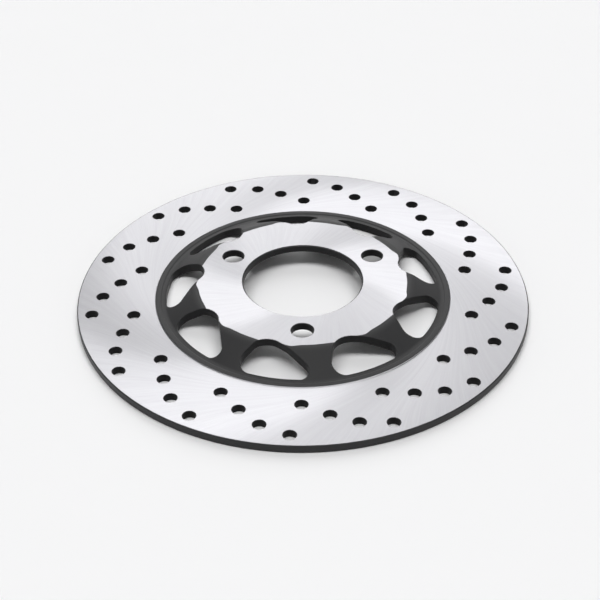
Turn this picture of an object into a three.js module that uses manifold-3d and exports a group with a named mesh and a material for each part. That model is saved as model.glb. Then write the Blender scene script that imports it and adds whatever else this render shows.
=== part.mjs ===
// Brake disc rotor of a small motorcycle or scooter, in millimetres.
//
// The disc's axis is Z. z = 0 is the lower friction face, and +Z points to the raised mounting flange.
// One sheet of steel makes the whole disc: a flat friction ring, a dished carrier with windows, and a
// flat mounting flange. The ring and the flange are ground bright and the carrier keeps its black coat,
// so each of the three regions is a solid of its own, and they meet face to face. Grinding has left the
// ring's upper face a little lower than the flat land at the carrier's edge.

import * as THREE from 'three';
import { mergeVertices } from 'three/addons/utils/BufferGeometryUtils.js';
import Module from 'manifold-3d';

const wasm = await Module();
wasm.setup();

// ---- driving dimensions ----

const SHEET = 4; // thickness of the steel, square to its surface
const RISE = 7.6; // from the friction face up to the flange face
const CIRCLE_STEPS = 108; // flats in each large circle

const RING = { inner: 72, outer: 110 };
const LAND = 0.5; // how far the carrier's coated edge stands above the ring's ground face
const FLANGE = { outer: 51, bore: 29, chamfer: 0.5 };

// The dished wall of the carrier. The bend radii are those of the upper face.
const DISH = { tilt: degrees(27.5), crownBend: 9, footBend: 4, bendSteps: 3 };

const BOLT_HOLES = { count: 3, circle: 40, radius: 5.25, start: degrees(30), steps: 20 };

// Each group of drilled holes is a slanted row: the further in a hole is, the more it lags behind.
const DRILLED = {
  groups: 14,
  start: degrees(164.2),
  radius: 3.2,
  steps: 12,
  row: [
    { circle: 103, lag: degrees(0) },
    { circle: 98, lag: degrees(8) },
    { circle: 90.8, lag: degrees(15) },
    { circle: 83.2, lag: degrees(23) },
  ],
};

// A window is a rounded triangle whose outer side follows a circle about the disc's axis. Each corner is
// an arc, placed by the angle and the distance from the axis of the arc's centre.
const WINDOW = {
  count: 9,
  start: degrees(16.6),
  outerSide: 66.8,
  trailing: { angle: degrees(-8.3), radius: 5.9 },
  leading: { angle: degrees(12.5), radius: 4 },
  apex: { angle: degrees(-3.3), centre: 57.6, radius: 8.7 },
  cornerSteps: 6,
  sideSteps: 5,
};

const CUT_MARGIN = 3; // how far a cutter reaches past the sheet on each side

const GROUND_STEEL = new THREE.MeshStandardMaterial({ color: 0xc8c9cc, metalness: 1, roughness: 0.35 });
const BLACK_COAT = new THREE.MeshStandardMaterial({ color: 0x222223, metalness: 0.1, roughness: 0.55 });

// ---- the formed sheet ----

function degrees(angle) {
  return (angle * Math.PI) / 180;
}

const FLANGE_TOP = SHEET + RISE;
const BEND_TOTAL = DISH.crownBend + DISH.footBend;
const CROWN_END = FLANGE.outer + DISH.crownBend * Math.sin(DISH.tilt);
const CROWN_END_HEIGHT = FLANGE_TOP - DISH.crownBend * (1 - Math.cos(DISH.tilt));
const DISH_RUN = BEND_TOTAL * Math.tan(DISH.tilt / 2) + RISE / Math.tan(DISH.tilt);
const FOOT = FLANGE.outer + DISH_RUN; // where the dish meets the flat of the ring
const FOOT_START = FOOT - DISH.footBend * Math.sin(DISH.tilt);
const LAND_TOP = SHEET + LAND;
const LAND_START = CROWN_END + (CROWN_END_HEIGHT - LAND_TOP) / Math.tan(DISH.tilt);

// How far the sheet leans from flat, at a radius measured on its upper face.
function tiltAt(radius) {
  if (radius <= FLANGE.outer || radius >= FOOT) return 0;
  if (radius < CROWN_END) return Math.asin((radius - FLANGE.outer) / DISH.crownBend);
  if (radius > FOOT_START) return Math.asin((FOOT - radius) / DISH.footBend);
  return DISH.tilt;
}

// Height of the sheet's upper face at a radius.
function topAt(radius) {
  const tilt = tiltAt(radius);
  if (radius < CROWN_END) return FLANGE_TOP - DISH.crownBend * (1 - Math.cos(tilt));
  if (radius > FOOT_START) return SHEET + DISH.footBend * (1 - Math.cos(tilt));
  return CROWN_END_HEIGHT - (radius - CROWN_END) * Math.tan(DISH.tilt);
}

// The point at a depth below the upper face, square to the sheet, as radius and height.
function sheetPoint(radius, depth) {
  const tilt = tiltAt(radius);
  return new THREE.Vector2(radius - depth * Math.sin(tilt), topAt(radius) - depth * Math.cos(tilt));
}

// ---- solids ----

// A ring-shaped solid about Z, from a closed profile of radius and height, listed anticlockwise.
function turned(profile) {
  const geometry = new THREE.LatheGeometry([...profile, profile[0]], CIRCLE_STEPS);
  return solid(geometry.rotateX(Math.PI / 2));
}

function solid(geometry) {
  geometry.deleteAttribute('normal');
  geometry.deleteAttribute('uv');
  const merged = mergeVertices(geometry);
  return new wasm.Manifold(new wasm.Mesh({
    numProp: 3,
    vertProperties: merged.attributes.position.array,
    triVerts: new Uint32Array(merged.index.array),
  }));
}

function cut(body, cutters) {
  return cutters.reduce((rest, cutter) => rest.subtract(cutter), body);
}

// An upright cylinder through the whole height of the disc.
function drill(circle, angle, radius, steps) {
  const height = FLANGE_TOP + 2 * CUT_MARGIN;
  const geometry = new THREE.CylinderGeometry(radius, radius, height, steps);
  geometry.rotateX(Math.PI / 2);
  geometry.translate(circle * Math.cos(angle), circle * Math.sin(angle), FLANGE_TOP / 2);
  return solid(geometry);
}

// ---- windows ----

function polar(radius, angle) {
  return new THREE.Vector2(radius * Math.cos(angle), radius * Math.sin(angle));
}

function arcPoints(centre, radius, from, to, steps) {
  const sweep = THREE.MathUtils.euclideanModulo(to - from, 2 * Math.PI);
  return Array.from({ length: steps + 1 }, (_, i) =>
    polar(radius, from + (sweep * i) / steps).add(centre));
}

// The direction, seen from either centre, in which a belt running anticlockwise touches two circles.
function beltDirection(a, b) {
  const span = b.centre.clone().sub(a.centre);
  return span.angle() - Math.acos((a.radius - b.radius) / span.length());
}

// The window's outline, seen from above and listed anticlockwise.
function windowOutline() {
  const corner = ({ angle, radius, centre = WINDOW.outerSide - radius }) => ({
    centre: polar(centre, angle),
    radius,
  });
  const apex = corner(WINDOW.apex);
  const trailing = corner(WINDOW.trailing);
  const leading = corner(WINDOW.leading);
  const intoTrailing = beltDirection(apex, trailing);
  const intoApex = beltDirection(leading, apex);
  const arc = (c, from, to) => arcPoints(c.centre, c.radius, from, to, WINDOW.cornerSteps);
  const axis = new THREE.Vector2(0, 0);
  const trailingAngle = WINDOW.trailing.angle;
  const leadingAngle = WINDOW.leading.angle;
  const arcs = [
    arc(apex, intoApex, intoTrailing),
    arc(trailing, intoTrailing, trailingAngle),
    arcPoints(axis, WINDOW.outerSide, trailingAngle, leadingAngle, WINDOW.sideSteps).slice(1, -1),
    arc(leading, leadingAngle, intoApex),
  ];
  return arcs.flat();
}

// The windows are pierced straight down through the formed sheet.
function windowCutters() {
  const depth = FLANGE_TOP + 2 * CUT_MARGIN;
  const shape = new THREE.Shape(windowOutline());
  const prism = new THREE.ExtrudeGeometry(shape, { depth, bevelEnabled: false });
  prism.translate(0, 0, -CUT_MARGIN);
  return Array.from({ length: WINDOW.count }, (_, i) => {
    const turn = WINDOW.start + (2 * Math.PI * i) / WINDOW.count;
    return solid(prism.clone().rotateZ(turn));
  });
}

// ---- the three regions of the disc ----

function frictionRing() {
  const profile = [
    new THREE.Vector2(RING.inner, 0),
    new THREE.Vector2(RING.outer, 0),
    new THREE.Vector2(RING.outer, SHEET),
    new THREE.Vector2(RING.inner, SHEET),
  ];
  const holes = [];
  for (let group = 0; group < DRILLED.groups; group += 1) {
    const lead = DRILLED.start - (2 * Math.PI * group) / DRILLED.groups;
    for (const { circle, lag } of DRILLED.row) {
      holes.push(drill(circle, lead - lag, DRILLED.radius, DRILLED.steps));
    }
  }
  return cut(turned(profile), holes);
}

function carrier() {
  const steps = Array.from({ length: DISH.bendSteps + 1 }, (_, i) => (DISH.tilt * i) / DISH.bendSteps);
  const crown = steps.map((tilt) => FLANGE.outer + DISH.crownBend * Math.sin(tilt));
  const foot = steps.map((tilt) => FOOT - DISH.footBend * Math.sin(tilt)).reverse();
  const under = [...crown, ...foot, RING.inner].map((radius) => sheetPoint(radius, SHEET));
  const land = [
    new THREE.Vector2(RING.inner, LAND_TOP),
    new THREE.Vector2(LAND_START, LAND_TOP),
  ];
  const upper = crown.map((radius) => sheetPoint(radius, 0)).reverse();
  return cut(turned([...under, ...land, ...upper]), windowCutters());
}

function mountingFlange() {
  const { outer, bore, chamfer } = FLANGE;
  const profile = [
    new THREE.Vector2(bore + chamfer, RISE),
    new THREE.Vector2(outer, RISE),
    new THREE.Vector2(outer, FLANGE_TOP),
    new THREE.Vector2(bore + chamfer, FLANGE_TOP),
    new THREE.Vector2(bore, FLANGE_TOP - chamfer),
    new THREE.Vector2(bore, RISE + chamfer),
  ];
  const { count, circle, radius, start, steps } = BOLT_HOLES;
  const holes = Array.from({ length: count }, (_, i) =>
    drill(circle, start + (2 * Math.PI * i) / count, radius, steps));
  return cut(turned(profile), [...windowCutters(), ...holes]);
}

function piece(name, body, material) {
  const { vertProperties, triVerts } = body.getMesh();
  const geometry = new THREE.BufferGeometry();
  geometry.setAttribute('position', new THREE.BufferAttribute(vertProperties, 3));
  geometry.setIndex(new THREE.BufferAttribute(triVerts, 1));
  geometry.computeVertexNormals();
  const mesh = new THREE.Mesh(geometry, material);
  mesh.name = name;
  return mesh;
}

const disc = new THREE.Group();
disc.add(
  piece('friction_ring', frictionRing(), GROUND_STEEL),
  piece('carrier', carrier(), BLACK_COAT),
  piece('mounting_flange', mountingFlange(), GROUND_STEEL),
);

export default disc;
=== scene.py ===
import math

import bmesh
import bpy
import numpy as np
from mathutils import Matrix, Vector


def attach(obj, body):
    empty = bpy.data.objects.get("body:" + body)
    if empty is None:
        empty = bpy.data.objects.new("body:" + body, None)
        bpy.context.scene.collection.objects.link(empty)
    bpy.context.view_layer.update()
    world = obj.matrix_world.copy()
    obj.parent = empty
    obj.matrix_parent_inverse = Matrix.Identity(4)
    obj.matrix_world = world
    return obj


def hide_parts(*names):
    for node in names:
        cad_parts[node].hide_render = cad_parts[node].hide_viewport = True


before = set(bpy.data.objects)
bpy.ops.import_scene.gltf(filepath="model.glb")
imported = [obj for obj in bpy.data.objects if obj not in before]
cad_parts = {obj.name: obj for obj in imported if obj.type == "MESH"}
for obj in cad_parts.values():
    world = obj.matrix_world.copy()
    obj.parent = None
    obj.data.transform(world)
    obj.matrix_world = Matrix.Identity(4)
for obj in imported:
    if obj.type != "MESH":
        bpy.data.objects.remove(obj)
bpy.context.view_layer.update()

# ---------------------------------------------------------------------------------------------------
# Sizes, in millimetres and radians, in the part's own frame: axis Z, lower friction face at z = 0.
# ---------------------------------------------------------------------------------------------------

MM = 0.001
TURN = 2 * math.pi

SHEET = 4.0
FLANGE_TOP = 11.6
FLANGE_UNDER = 7.6
FLANGE_OUTER = 51.0
RING_INNER = 72.0
RING_OUTER = 110.0
BORE = 29.0
LAND_TOP = 4.5

TILT = math.radians(27.5)
CROWN_BEND = 9.0
FOOT_BEND = 4.0

LATHE_STEPS = 540
CUT_MARGIN = 3.0

# Round holes. "break" is the small chamfer at both faces.
BOLT = {"count": 3, "circle": 40.0, "radius": 5.25, "start": math.radians(30), "break": 0.34}
DRILL = {"groups": 14, "start": math.radians(164.2), "radius": 3.2, "break": 0.05}
# Each hole of a group, from the outside in: its circle's radius, and by how many degrees it lags behind.
DRILL_ROW = [(103.0, 0.0), (98.0, 8.0), (90.8, 15.0), (83.2, 23.0)]

WINDOWS = 9
WINDOW_START = math.radians(16.6)
OUTER_SIDE = 66.8
TRAILING = (math.radians(-8.3), 5.9)
LEADING = (math.radians(12.5), 4.0)
APEX = (math.radians(-3.3), 8.7)
APEX_CENTRE = 57.6
WINDOW_ROUND = 0.3  # radius of the rounded edges that the windows leave

BORE_WIDENED = 0.6  # how far the bore's chamfer reaches out, and below it, how deep it goes
BORE_CHAMFER = 0.5
RIM_ROUND = 0.5
RIM_START = 106.0  # upright walls outside this radius keep the plain coat, without the painted shade given to the walls inside
JOIN_GAP = 0.02  # keeps the ring and the carrier apart, so that their faces don't coincide

# The carrier's upper face from near the dish's foot outwards: a shallow valley, then the flat land.
VALLEY = [(66.8, 4.54), (67.3, 4.38), (67.8, 4.29), (68.4, 4.24), (68.95, 4.22), (69.15, 4.24),
          (69.35, 4.34), (69.5, 4.43), (69.7, 4.475), (70.0, 4.49), (70.5, LAND_TOP),
          (71.6, LAND_TOP), (71.85, 4.48), (RING_INNER - JOIN_GAP, 4.4)]
BEND_STEPS = 8
FACE_REACH = 0.02  # how near a face's height a point has to be to count as on it
BEND_START = 52.2  # just past the widest bulge of the flange's ground face

# ---------------------------------------------------------------------------------------------------
# The formed sheet
# ---------------------------------------------------------------------------------------------------

CROWN_END = FLANGE_OUTER + CROWN_BEND * math.sin(TILT)
CROWN_END_Z = FLANGE_TOP - CROWN_BEND * (1 - math.cos(TILT))
FOOT = (FLANGE_OUTER + (CROWN_BEND + FOOT_BEND) * math.tan(TILT / 2)
        + (FLANGE_TOP - SHEET) / math.tan(TILT))
FOOT_START = FOOT - FOOT_BEND * math.sin(TILT)


def tilt_at(radius):
    """How far the sheet leans from flat, at a radius on its upper face."""
    if radius <= FLANGE_OUTER or radius >= FOOT:
        return 0.0
    if radius < CROWN_END:
        return math.asin((radius - FLANGE_OUTER) / CROWN_BEND)
    if radius > FOOT_START:
        return math.asin((FOOT - radius) / FOOT_BEND)
    return TILT


def top_at(radius):
    """Height of the sheet's upper face at a radius."""
    tilt = tilt_at(radius)
    if radius < CROWN_END:
        return FLANGE_TOP - CROWN_BEND * (1 - math.cos(tilt))
    if radius > FOOT_START:
        return SHEET + FOOT_BEND * (1 - math.cos(tilt))
    return CROWN_END_Z - (radius - CROWN_END) * math.tan(TILT)


def sheet_point(radius, depth):
    """Radius and height of the point at a depth below the upper face, square to the sheet."""
    tilt = tilt_at(radius)
    return radius - depth * math.sin(tilt), top_at(radius) - depth * math.cos(tilt)


UNDER_RADII, UNDER_HEIGHTS = np.array(
    [sheet_point(r, SHEET) for r in np.linspace(BORE, RING_INNER, 400)]).T


def ground_edge(angle):
    """Radius at which the flange's ground face gives way to the coated bend. It bulges outwards twice
    beside each window."""
    part = math.degrees(angle - WINDOW_START - APEX[0]) % (360 / WINDOWS)
    return (50.85 + 0.95 * math.exp(-((part - 11) / 3.2) ** 2)
            + 0.3 * math.exp(-((part - 34) / 2.5) ** 2))


# ---------------------------------------------------------------------------------------------------
# Mesh building
# ---------------------------------------------------------------------------------------------------

def mesh_object(name, vertices, faces):
    mesh = bpy.data.meshes.new(name)
    mesh.from_pydata([tuple(v) for v in vertices], [], faces)
    mesh.validate()
    obj = bpy.data.objects.new(name, mesh)
    bpy.context.scene.collection.objects.link(obj)
    return obj


def turned(name, profile):
    """A ring-shaped solid about Z. The profile gives, for an angle, the closed section as radius and
    height, listed anticlockwise with +radius to the right and +Z up."""
    vertices = []
    for step in range(LATHE_STEPS):
        angle = TURN * step / LATHE_STEPS
        for radius, z in profile(angle):
            vertices.append((radius * math.cos(angle), radius * math.sin(angle), z))
    size = len(vertices) // LATHE_STEPS
    faces = []
    for step in range(LATHE_STEPS):
        here, there = step * size, ((step + 1) % LATHE_STEPS) * size
        for k in range(size):
            after = (k + 1) % size
            faces.append((here + k, there + k, there + after, here + after))
    return mesh_object(name, vertices, faces)


def stack(rings):
    """Vertices and faces of a closed plug from rings of points, listed from the bottom up, each
    anticlockwise seen from above."""
    size = len(rings[0])
    vertices = [p for ring in rings for p in ring]
    faces = [tuple(reversed(range(size)))]
    for level in range(len(rings) - 1):
        low, high = level * size, (level + 1) * size
        for k in range(size):
            after = (k + 1) % size
            faces.append((low + k, low + after, high + after, high + k))
    faces.append(tuple(range(len(vertices) - size, len(vertices))))
    return vertices, faces


def circle(centre, radius, z, steps):
    return [(centre[0] + radius * math.cos(TURN * k / steps),
             centre[1] + radius * math.sin(TURN * k / steps), z) for k in range(steps)]


def hole_plugs(name, holes, low, high, radius, edge, steps):
    """Cutters for round holes whose rims are broken by a small chamfer at both faces."""
    vertices, faces = [], []
    for centre in holes:
        levels = [(low - CUT_MARGIN, radius + edge), (low, radius + edge), (low + edge, radius),
                  (high - edge, radius), (high, radius + edge), (high + CUT_MARGIN, radius + edge)]
        v, f = stack([circle(centre, r, z, steps) for z, r in levels])
        offset = len(vertices)
        vertices += v
        faces += [tuple(offset + i for i in face) for face in f]
    return mesh_object(name, vertices, faces)


def belt_direction(a, ra, b, rb):
    span = Vector(b) - Vector(a)
    return math.atan2(span.y, span.x) - math.acos((ra - rb) / span.length)


def polar(radius, angle):
    return radius * math.cos(angle), radius * math.sin(angle)


def window_outline(grow):
    """The window's outline on the sheet's upper face, seen from above, listed anticlockwise, and let
    out by grow."""
    corners = [(polar(APEX_CENTRE, APEX[0]), APEX[1]),
               (polar(OUTER_SIDE - TRAILING[1], TRAILING[0]), TRAILING[1]),
               (polar(OUTER_SIDE - LEADING[1], LEADING[0]), LEADING[1])]
    (apex, ra), (trail, rt), (lead, rl) = corners
    into_trail = belt_direction(apex, ra, trail, rt)
    into_apex = belt_direction(lead, rl, apex, ra)

    def arc(centre, radius, start, end, steps):
        sweep = (end - start) % TURN
        return [(centre[0] + radius * math.cos(start + sweep * k / steps),
                 centre[1] + radius * math.sin(start + sweep * k / steps)) for k in range(steps + 1)]

    def between(a, b, steps):
        return [(a[0] + (b[0] - a[0]) * k / steps, a[1] + (b[1] - a[1]) * k / steps)
                for k in range(1, steps)]

    apex_arc = arc(apex, ra + grow, into_apex, into_trail, 30)
    trail_arc = arc(trail, rt + grow, into_trail, TRAILING[0], 20)
    side = arc((0, 0), OUTER_SIDE + grow, TRAILING[0], LEADING[0], 22)[1:-1]
    lead_arc = arc(lead, rl + grow, LEADING[0], into_apex, 20)
    return (apex_arc + between(apex_arc[-1], trail_arc[0], 14) + trail_arc + side + lead_arc
            + between(lead_arc[-1], apex_arc[0], 14))


def under_at(radius):
    """Height of the sheet's under face at a radius."""
    return float(np.interp(radius, UNDER_RADII, UNDER_HEIGHTS))


def window_plugs(name):
    """Cutters for the windows. They go straight down through the formed sheet, and the edges that they
    leave are rounded off a little."""
    edge = WINDOW_ROUND
    rounding = [(edge * (1 - math.sin(a)), edge * (1 - math.cos(a)))
                for a in (math.pi / 2 * k / 3 for k in range(3))]
    # Height above the under face, and how far the outline is let out there.
    lower = [(-CUT_MARGIN, edge), (0.0, edge), *reversed(rounding)]
    rings = []
    for side, heights in ((under_at, lower), (top_at, [(-h, g) for h, g in reversed(lower)])):
        for height, grow in heights:
            outline = window_outline(grow)
            rings.append([(x, y, side(math.hypot(x, y)) + height) for x, y in outline])
    vertices, faces = stack(rings)
    all_vertices, all_faces = [], []
    for k in range(WINDOWS):
        turn = Matrix.Rotation(WINDOW_START + TURN * k / WINDOWS, 3, "Z")
        offset = len(all_vertices)
        all_vertices += [turn @ Vector(v) for v in vertices]
        all_faces += [tuple(offset + i for i in face) for face in faces]
    return mesh_object(name, all_vertices, all_faces)


def cut(body, plugs):
    """Takes the plugs out of the body, for good."""
    for plug in plugs:
        step = body.modifiers.new("cut", "BOOLEAN")
        step.operation = "DIFFERENCE"
        step.solver = "EXACT"
        step.object = plug
    graph = bpy.context.evaluated_depsgraph_get()
    mesh = bpy.data.meshes.new_from_object(body.evaluated_get(graph))
    body.modifiers.clear()
    body.data = mesh
    for plug in plugs:
        bpy.data.objects.remove(plug)
    return body


def finish_piece(body, coat, steel, is_steel):
    """Gives each face its finish, marks the sharp edges, and brings the mesh from millimetres to metres.
    Edges between two finishes are sharp, so that ground faces stay perfectly flat."""
    mesh = body.data
    mesh.materials.clear()
    mesh.materials.append(coat)
    mesh.materials.append(steel)
    b = bmesh.new()
    b.from_mesh(mesh)
    bmesh.ops.remove_doubles(b, verts=b.verts, dist=0.0005)
    bmesh.ops.dissolve_degenerate(b, edges=b.edges, dist=0.0005)
    # Where two faces share a corner with no other, cutting both into triangles can leave the same small
    # triangle twice, back to back. They are cut here, so that such a pair is found and taken away.
    shared = {face for corner in b.verts if len(corner.link_edges) == 2 for face in corner.link_faces}
    bmesh.ops.triangulate(b, faces=[face for face in b.faces if face in shared])
    tips = [corner for corner in b.verts if len(corner.link_edges) == 2]
    bmesh.ops.delete(b, geom=tips, context="VERTS")
    b.normal_update()
    for face in b.faces:
        face.smooth = True
        face.material_index = 1 if is_steel(face.calc_center_median(), face.normal) else 0
    for edge in b.edges:
        faces = edge.link_faces
        edge.smooth = (len(faces) == 2 and faces[0].material_index == faces[1].material_index
                       and edge.calc_face_angle(0) < math.radians(32))
    b.to_mesh(mesh)
    b.free()
    mesh.transform(Matrix.Scale(MM, 4))
    even = body.modifiers.new("even shading", "WEIGHTED_NORMAL")
    even.mode = "FACE_AREA"
    even.weight = 80
    even.keep_sharp = True
    return body


# ---------------------------------------------------------------------------------------------------
# Materials
# ---------------------------------------------------------------------------------------------------

class Nodes:
    """A little help to write node trees as sums of parts."""

    def __init__(self, name):
        self.material = bpy.data.materials.new(name)
        self.material.use_nodes = True
        self.tree = self.material.node_tree
        self.tree.nodes.clear()

    def add(self, kind, **settings):
        node = self.tree.nodes.new(kind)
        for key, value in settings.items():
            setattr(node, key, value)
        return node

    def link(self, source, target):
        if hasattr(source, "links"):
            self.tree.links.new(source, target)
        else:
            target.default_value = source

    def math(self, operation, *values, clamp=False):
        node = self.add("ShaderNodeMath", operation=operation, use_clamp=clamp)
        for value, socket in zip(values, node.inputs):
            self.link(value, socket)
        return node.outputs[0]

    def vector(self, x, y, z):
        node = self.add("ShaderNodeCombineXYZ")
        for value, socket in zip((x, y, z), node.inputs):
            self.link(value, socket)
        return node.outputs[0]

    def noise(self, vector, scale=1.0, detail=2.0, rough=0.5):
        node = self.add("ShaderNodeTexNoise")
        self.link(vector, node.inputs["Vector"])
        node.inputs["Scale"].default_value = scale
        node.inputs["Detail"].default_value = detail
        node.inputs["Roughness"].default_value = rough
        return node.outputs["Fac"]

    def remap(self, value, low, high, to_low, to_high, clamp=True):
        node = self.add("ShaderNodeMapRange", clamp=clamp)
        for v, socket in zip((value, low, high, to_low, to_high), node.inputs):
            self.link(v, socket)
        return node.outputs[0]

    def mix(self, factor, a, b):
        node = self.add("ShaderNodeMix", data_type="RGBA")
        self.link(factor, node.inputs["Factor"])
        for value, socket in ((a, node.inputs[6]), (b, node.inputs[7])):
            self.link(value, socket)
        return node.outputs[2]

    def bump(self, height, strength, distance, normal=None):
        node = self.add("ShaderNodeBump")
        node.inputs["Strength"].default_value = strength
        node.inputs["Distance"].default_value = distance
        self.link(height, node.inputs["Height"])
        if normal is not None:
            self.link(normal, node.inputs["Normal"])
        return node.outputs[0]

    def place(self):
        """Where a point is, in the part's frame: position, x, y, and distance from the axis."""
        position = self.add("ShaderNodeTexCoord").outputs["Object"]
        split = self.add("ShaderNodeSeparateXYZ")
        self.link(position, split.inputs[0])
        x, y, _ = split.outputs
        flat = self.math("SQRT", self.math("ADD", self.math("MULTIPLY", x, x),
                                           self.math("MULTIPLY", y, y)))
        return position, x, y, flat

    def principled(self, **values):
        shader = self.add("ShaderNodeBsdfPrincipled")
        for key, value in values.items():
            shader.inputs[key.replace("_", " ")].default_value = value
        output = self.add("ShaderNodeOutputMaterial")
        self.link(shader.outputs[0], output.inputs[0])
        return shader


def ground_steel(name, lean_near, lean_far, near, far):
    """Ground steel with fine curved marks that cross the face at an angle to the circle about the axis.
    The angle goes from lean_near at radius near to lean_far at radius far."""
    n = Nodes(name)
    _, x, y, flat = n.place()
    lean = n.remap(flat, near * MM, far * MM, lean_near, lean_far, clamp=False)
    around_x, around_y = n.math("DIVIDE", x, flat), n.math("DIVIDE", y, flat)
    # The angle that a mark keeps along its whole length: the marks are spirals about the axis.
    steady = n.math("ADD", n.math("ARCTAN2", y, x), spiral(n, flat, near, far, lean_near, lean_far))
    mark_x, mark_y = n.math("COSINE", steady), n.math("SINE", steady)
    fine = n.noise(n.vector(n.math("MULTIPLY", mark_x, 380), n.math("MULTIPLY", mark_y, 380),
                            n.math("MULTIPLY", flat, 60)), detail=4, rough=0.75)
    broad = n.noise(n.vector(n.math("MULTIPLY", mark_x, 30), n.math("MULTIPLY", mark_y, 30),
                             n.math("MULTIPLY", flat, 40)), detail=2)
    # Now and then a mark crosses the others.
    crossing = n.noise(n.vector(n.math("MULTIPLY", around_x, 90), n.math("MULTIPLY", around_y, 90),
                                n.math("MULTIPLY", flat, 9000)), detail=1)
    side = n.math("SUBTRACT", n.math("MULTIPLY", n.math("LESS_THAN", crossing, 0.74), 2), 1)
    turn = n.math("MULTIPLY", lean, side)
    cos, sin = n.math("COSINE", turn), n.math("SINE", turn)
    across_x = n.math("SUBTRACT", n.math("MULTIPLY", around_x, cos), n.math("MULTIPLY", around_y, sin))
    across_y = n.math("ADD", n.math("MULTIPLY", around_x, sin), n.math("MULTIPLY", around_y, cos))
    shade = n.math("ADD", n.math("MULTIPLY", fine, 0.7), n.math("MULTIPLY", broad, 0.3))
    shader = n.principled(Metallic=1.0, Anisotropic=1.0)
    n.link(n.mix(n.remap(shade, 0.35, 0.65, 0, 1), (0.336, 0.334, 0.35, 1), (0.404, 0.402, 0.418, 1)),
           shader.inputs["Base Color"])
    n.link(n.remap(shade, 0.3, 0.7, 0.35, 0.39), shader.inputs["Roughness"])
    n.link(n.vector(across_x, across_y, 0), shader.inputs["Tangent"])
    n.link(n.bump(fine, 0.3, 0.00001), shader.inputs["Normal"])
    return n.material


def spiral(n, flat, near, far, lean_near, lean_far):
    """How far about the axis a mark has run at a distance from it: the integral of cot(lean) / r,
    with the cotangent taken as a quadratic of the distance."""
    leans = [lean_near, (lean_near + lean_far) / 2, lean_far]
    radii = [near, (near + far) / 2, far]
    squared, linear, constant = np.polyfit(radii, [1 / math.tan(lean) for lean in leans], 2)
    r = n.math("MULTIPLY", flat, 1 / MM)
    turned_by = n.math("ADD", n.math("MULTIPLY", n.math("LOGARITHM", r, math.e), constant),
                       n.math("MULTIPLY", r, linear))
    return n.math("ADD", turned_by, n.math("MULTIPLY", n.math("MULTIPLY", r, r), squared / 2))


def black_coating():
    """Satin black coating. The punched and drilled walls inside the rim get painted shade: a near-black
    base colour stands in for the shade in those recesses. The disc's rim isn't darkened.
    """
    n = Nodes("black_coating")
    position, _, _, flat = n.place()
    grain = n.noise(position, scale=2600, detail=2)
    swell = n.noise(position, scale=350, detail=2)
    cloud = n.noise(position, scale=45, detail=3)
    face = n.add("ShaderNodeSeparateXYZ")
    n.link(n.add("ShaderNodeTexCoord").outputs["Normal"], face.inputs[0])
    upright = n.remap(n.math("ABSOLUTE", face.outputs[2]), 0.25, 0.6, 1.0, 0.0)
    # Painted shade: upright walls inside the rim (windows, holes, bore) take a near-black base colour
    # that stands in for the shade in these recesses.
    recess_shade = n.math("MULTIPLY", upright, n.math("LESS_THAN", flat, RIM_START * MM))
    paint = n.mix(n.remap(cloud, 0.3, 0.7, 0, 1), (0.022, 0.022, 0.023, 1), (0.028, 0.028, 0.029, 1))
    shader = n.principled(Metallic=0.0, Specular_IOR_Level=0.2, Sheen_Weight=0.14, Sheen_Roughness=0.45)
    n.link(n.mix(recess_shade, paint, (0.006, 0.006, 0.0065, 1)), shader.inputs["Base Color"])
    n.link(n.remap(n.math("ADD", n.math("MULTIPLY", cloud, 0.6), n.math("MULTIPLY", grain, 0.4)),
                   0.3, 0.7, 0.52, 0.62), shader.inputs["Roughness"])
    n.link(n.bump(grain, 0.25, 0.00003, n.bump(swell, 0.2, 0.00006)), shader.inputs["Normal"])
    return n.material


def studio_floor():
    n = Nodes("studio_floor")
    position = n.add("ShaderNodeTexCoord").outputs["Object"]
    shader = n.principled(Roughness=0.9, Specular_IOR_Level=0.0)
    n.link(n.mix(n.noise(position, scale=30, detail=2), (0.90, 0.90, 0.905, 1), (0.905, 0.905, 0.91, 1)),
           shader.inputs["Base Color"])
    return n.material


# How far the marks lean at the inner and the outer edge, and the radii of those edges.
RING_MARKS = (math.radians(14), math.radians(52), 73, 110)
HUB_MARKS = (math.radians(60.5), math.radians(78), 30, 51)

coat = black_coating()
ring_steel = ground_steel("ground_steel", *RING_MARKS)
hub_steel = ground_steel("ground_steel_hub", *HUB_MARKS)

# ---------------------------------------------------------------------------------------------------
# The pieces
# ---------------------------------------------------------------------------------------------------

def lies_flat(normal):
    return abs(normal.z) > 0.7


def ring_is_ground(centre, normal):
    """Both friction faces, and the small round beside the carrier's land."""
    on_face = centre.z < FACE_REACH or centre.z > SHEET - FACE_REACH
    by_land = math.hypot(centre.x, centre.y) < RING_INNER + 1.5 and centre.z > SHEET - FACE_REACH / 2
    return lies_flat(normal) and on_face or by_land


def nothing_is_ground(_centre, _normal):
    return False


def flange_is_ground(centre, normal):
    """Only the front face."""
    return lies_flat(normal) and centre.z > FLANGE_TOP - FACE_REACH


def ring_profile(_angle):
    """The friction ring's section: a coated rim with broken edges, and at the inner edge the small round
    that the grinding leaves against the carrier's land."""
    points = [(RING_INNER, 0.0), (RING_OUTER - 0.4, 0.0), (RING_OUTER - 0.12, 0.12), (RING_OUTER, 0.4)]
    for k in range(4):
        turn = math.pi / 2 * k / 3
        points.append((RING_OUTER - RIM_ROUND * (1 - math.cos(turn)),
                       SHEET - RIM_ROUND * (1 - math.sin(turn))))
    fillet = LAND_TOP - SHEET - JOIN_GAP
    for k in range(4):
        turn = math.pi / 2 * k / 3
        points.append((RING_INNER + fillet * (1 - math.sin(turn)), SHEET + fillet * (1 - math.cos(turn))))
    return points


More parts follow.
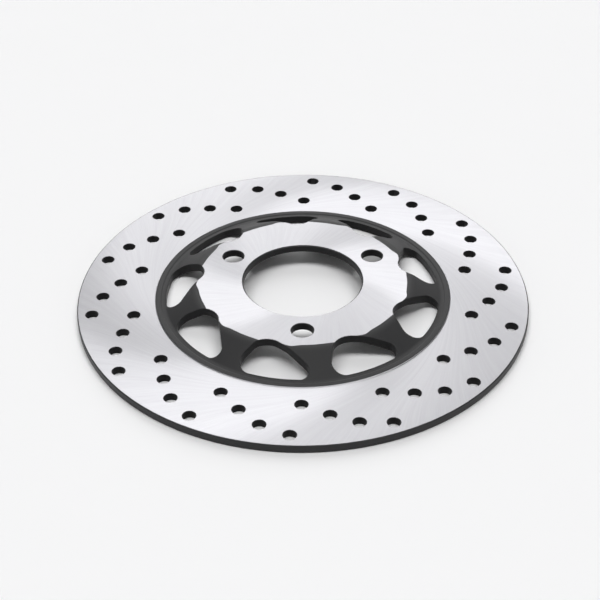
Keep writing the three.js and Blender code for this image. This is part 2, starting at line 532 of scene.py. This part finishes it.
def carrier_profile(angle):
    """The carrier's section: bend, cone, a shallow valley at its foot, and the flat land by the ring."""
    edge = ground_edge(angle)
    bend = [BEND_START + (CROWN_END - BEND_START) * k / BEND_STEPS for k in range(BEND_STEPS + 1)]
    upper = [(radius, top_at(radius)) for radius in (edge, *bend, 57.5, 60.0, 62.5, 65.0)] + VALLEY
    foot = [FOOT - FOOT_BEND * math.sin(TILT * (1 - k / BEND_STEPS)) for k in range(BEND_STEPS + 1)]
    under = [sheet_point(radius, SHEET) for radius in (*bend[1:], 60.0, 65.0, *foot)]
    return [(edge, FLANGE_UNDER), *under, (RING_INNER - JOIN_GAP, 0.0), *upper[::-1]]


def flange_profile(angle):
    """The mounting flange's section, with chamfered bore."""
    edge = ground_edge(angle)
    return [(BORE + BORE_WIDENED, FLANGE_UNDER), (edge, FLANGE_UNDER), (edge, FLANGE_TOP),
            (BORE + BORE_WIDENED, FLANGE_TOP), (BORE, FLANGE_TOP - BORE_CHAMFER),
            (BORE, FLANGE_UNDER + BORE_CHAMFER)]


drilled = []
for group in range(DRILL["groups"]):
    lead = DRILL["start"] - TURN * group / DRILL["groups"]
    drilled += [polar(radius, lead - math.radians(lag)) for radius, lag in DRILL_ROW]
bolts = [polar(BOLT["circle"], BOLT["start"] + TURN * k / BOLT["count"]) for k in range(BOLT["count"])]

ring = cut(turned("disc_friction_ring", ring_profile),
           [hole_plugs("drill", drilled, 0.0, SHEET, DRILL["radius"], DRILL["break"], 40)])
finish_piece(ring, coat, ring_steel, ring_is_ground)

carrier = cut(turned("disc_carrier", carrier_profile), [window_plugs("windows")])
finish_piece(carrier, coat, ring_steel, nothing_is_ground)

flange = cut(turned("disc_mounting_flange", flange_profile),
             [window_plugs("windows"),
              hole_plugs("bolts", bolts, FLANGE_UNDER, FLANGE_TOP, BOLT["radius"], BOLT["break"], 72)])
finish_piece(flange, coat, hub_steel, flange_is_ground)

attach(ring, "root")
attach(carrier, "root")
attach(flange, "root")
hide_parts("friction_ring")
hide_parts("carrier")
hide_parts("mounting_flange")

# ---------------------------------------------------------------------------------------------------
# Floor, light and camera
# ---------------------------------------------------------------------------------------------------

FLOOR = 6  # half the floor's width, in metres

# Where each light is seen from the disc. The overhead box is a rectangle on a level ceiling, given as
# slopes from straight up. The others are given as angles above the floor and to each side.
OVERHEAD = {"x": (-0.60, 0.607), "y": (-0.271, 0.103), "soft": 0.05, "strength": 6.75}
BEHIND = {"turn": (math.radians(-17.1), math.radians(15.3)),
          "height": (math.radians(13.5), math.radians(62.9)), "soft": math.radians(3), "strength": 5.3}
FRONT = {"height": (math.radians(-10), math.radians(50)), "soft": math.radians(6), "strength": 0.2,
         "mirrored": 1.6}
LOW = {"height": (math.radians(-20), math.radians(17)), "soft": math.radians(5), "strength": 0.6}
ROOM = 0.06
BACKDROP = 0.913

# The camera stands in front of the disc and looks down at it.
CAMERA_PLACE = (0.00406, -0.51989, 0.38975)
CAMERA_LENS, SENSOR_WIDTH = 79.04, 36.0
CAMERA_PITCH, CAMERA_ROLL, CAMERA_TURN = 0.6444, -0.0096, math.radians(0.6)

floor = mesh_object("studio_floor", [(-FLOOR, -FLOOR, 0), (FLOOR, -FLOOR, 0), (FLOOR, FLOOR, 0),
                                     (-FLOOR, FLOOR, 0)], [(0, 1, 2, 3)])
floor.location.z = -0.00002  # just clear of the disc's lower face
floor.data.materials.append(studio_floor())


class StudioNodes(Nodes):
    """The same help for the node tree of the world, where a point is a direction."""

    def __init__(self, name):
        self.world = bpy.data.worlds.new(name)
        self.world.use_nodes = True
        self.tree = self.world.node_tree
        self.tree.nodes.clear()

    def between(self, value, low, high, soft):
        """1 where value lies between low and high, with soft edges."""
        rise = self.ramp(value, low - soft, low + soft)
        fall = self.ramp(value, high - soft, high + soft)
        return self.math("SUBTRACT", rise, fall)

    def ramp(self, value, low, high):
        node = self.add("ShaderNodeMapRange", interpolation_type="SMOOTHSTEP")
        for v, socket in zip((value, low, high, 0.0, 1.0), node.inputs):
            self.link(v, socket)
        return node.outputs[0]

    def total(self, *values):
        result = values[0]
        for value in values[1:]:
            result = self.math("ADD", result, value)
        return result


def studio():
    """Light from far off on all sides, so that the floor is evenly lit: a broad soft box overhead, a
    tall one behind the disc, and a dim room with a paler wall in front. The camera itself sees a plain
    pale backdrop."""
    n = StudioNodes("studio")
    split = n.add("ShaderNodeSeparateXYZ")
    n.link(n.add("ShaderNodeTexCoord").outputs["Generated"], split.inputs[0])
    x, y, z = split.outputs
    up = n.math("MAXIMUM", z, 0.001)
    flat = n.math("SQRT", n.math("SUBTRACT", 1.001, n.math("MULTIPLY", z, z)))
    height = n.math("ARCSINE", z)
    overhead = n.math("MULTIPLY", n.between(n.math("DIVIDE", x, up), *OVERHEAD["x"], OVERHEAD["soft"]),
                      n.between(n.math("DIVIDE", y, up), *OVERHEAD["y"], OVERHEAD["soft"]))
    behind = n.math("MULTIPLY", n.between(n.math("ARCTAN2", x, y), *BEHIND["turn"], BEHIND["soft"]),
                    n.between(height, *BEHIND["height"], BEHIND["soft"]))
    # The walls of the room: palest in front, and paler near the floor than higher up.
    facing = n.ramp(n.math("DIVIDE", n.math("MULTIPLY", y, -1.0), flat), -0.1, 0.6)
    front = n.math("MULTIPLY", facing, n.between(height, *FRONT["height"], FRONT["soft"]))
    low = n.between(height, *LOW["height"], LOW["soft"])
    # Only what mirrors it sees the front wall this bright, so the floor isn't lit up by it.
    mirrored = n.math("MULTIPLY", n.add("ShaderNodeLightPath").outputs["Is Glossy Ray"], front)
    strength = n.total(n.math("MULTIPLY", overhead, OVERHEAD["strength"]),
                       n.math("MULTIPLY", behind, BEHIND["strength"]),
                       n.math("MULTIPLY", front, FRONT["strength"]),
                       n.math("MULTIPLY", low, LOW["strength"]),
                       n.math("MULTIPLY", mirrored, FRONT["mirrored"]), ROOM)
    light = n.add("ShaderNodeBackground")
    n.link(strength, light.inputs["Strength"])
    seen = n.add("ShaderNodeBackground")
    seen.inputs["Color"].default_value = (BACKDROP, BACKDROP, BACKDROP, 1)
    either = n.add("ShaderNodeMixShader")
    n.link(n.add("ShaderNodeLightPath").outputs["Is Camera Ray"], either.inputs[0])
    n.link(light.outputs[0], either.inputs[1])
    n.link(seen.outputs[0], either.inputs[2])
    n.link(either.outputs[0], n.add("ShaderNodeOutputWorld").inputs["Surface"])
    return n.world


world = studio()
world.cycles.sampling_method = "MANUAL"
world.cycles.sample_map_resolution = 1024
bpy.context.scene.world = world

camera_data = bpy.data.cameras.new("camera")
camera_data.sensor_width = SENSOR_WIDTH
camera_data.lens = CAMERA_LENS
camera = bpy.data.objects.new("camera", camera_data)
camera.location = CAMERA_PLACE
camera.rotation_mode = "QUATERNION"
camera.rotation_quaternion = (
    Matrix.Rotation(CAMERA_TURN, 3, "Z") @ Matrix.Rotation(math.pi / 2 - CAMERA_PITCH, 3, "X")
    @ Matrix.Rotation(CAMERA_ROLL, 3, "Z")).to_quaternion()
bpy.context.scene.collection.objects.link(camera)
bpy.context.scene.camera = camera
bpy.context.scene.view_settings.view_transform = "Standard"
